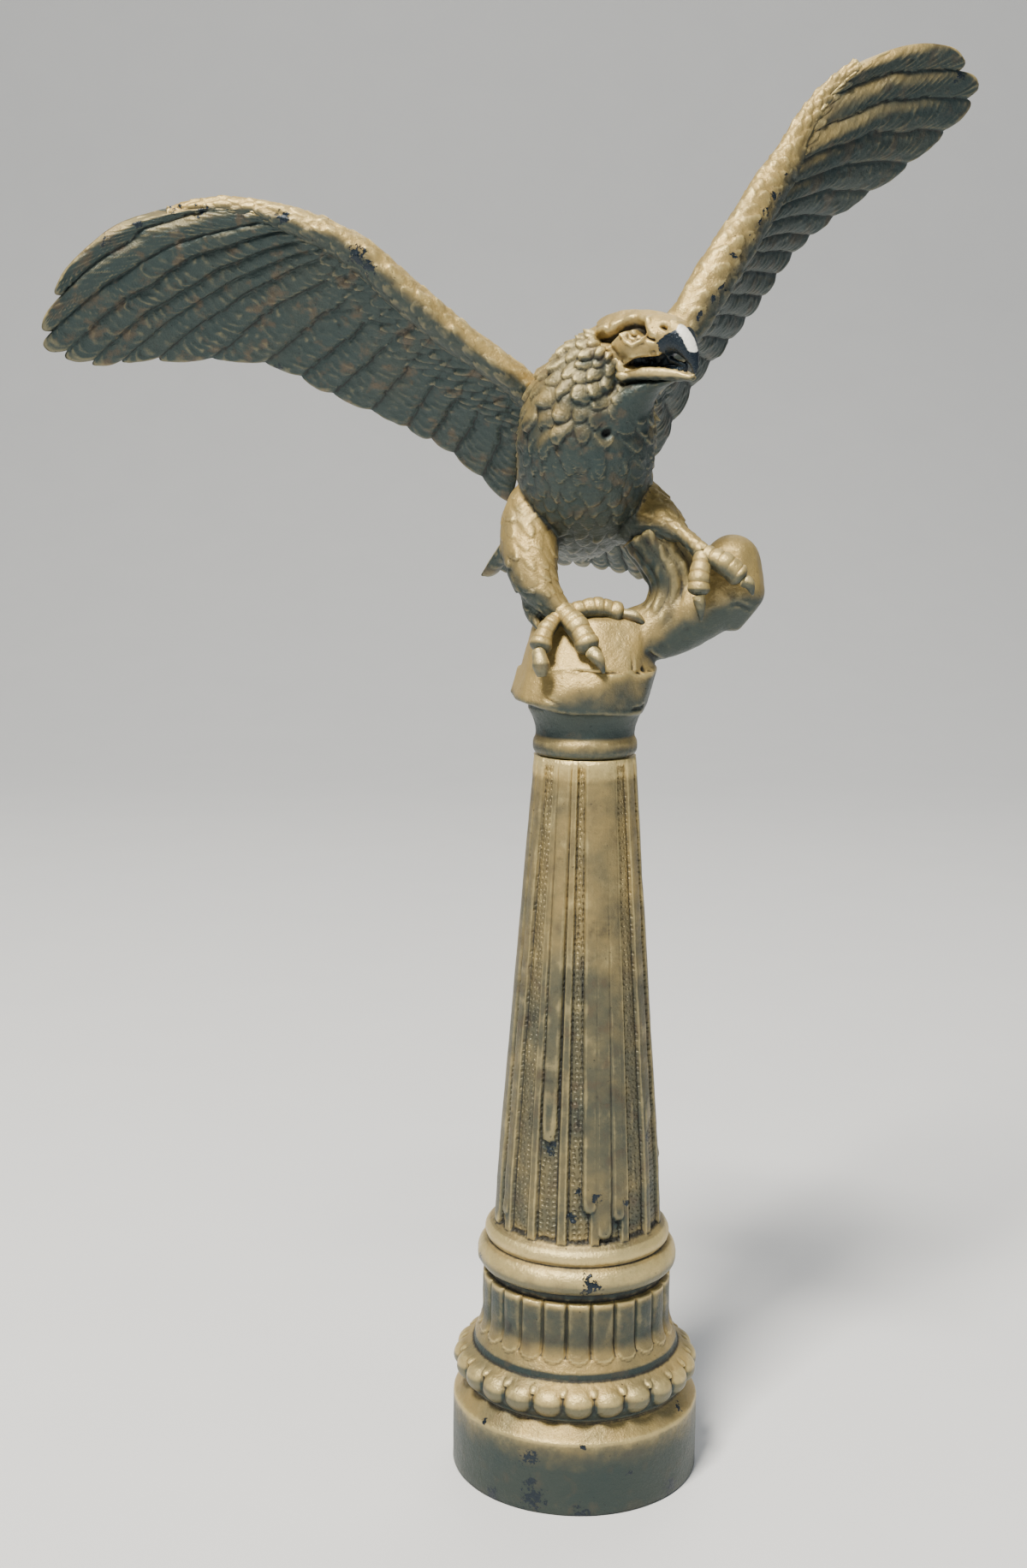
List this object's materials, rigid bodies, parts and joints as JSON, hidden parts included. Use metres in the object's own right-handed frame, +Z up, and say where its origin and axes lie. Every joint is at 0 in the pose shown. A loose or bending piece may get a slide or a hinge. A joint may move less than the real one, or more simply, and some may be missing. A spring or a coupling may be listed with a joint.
{
  "type": "eagle finial",
  "caption": "Cast metal finial: an eagle with raised wings grips a rock on top of a fluted, tapering column with a beaded round base",
  "frame": {"origin": "centre of the column's flat underside", "axes": "+Z up along the column, -Y towards the viewer of the picture, +X to the viewer's right"},
  "size_m": [0.2569, 0.0944, 0.4006],
  "materials": {
    "gold_paint": "dull gold paint over dark cast metal, chipped and rubbed"
  },
  "bodies": {
    "root": {"column": "gold_paint", "eagle_on_rock": "gold_paint", "right_wing": "gold_paint", "left_wing": "gold_paint"}
  },
  "joints": []
}
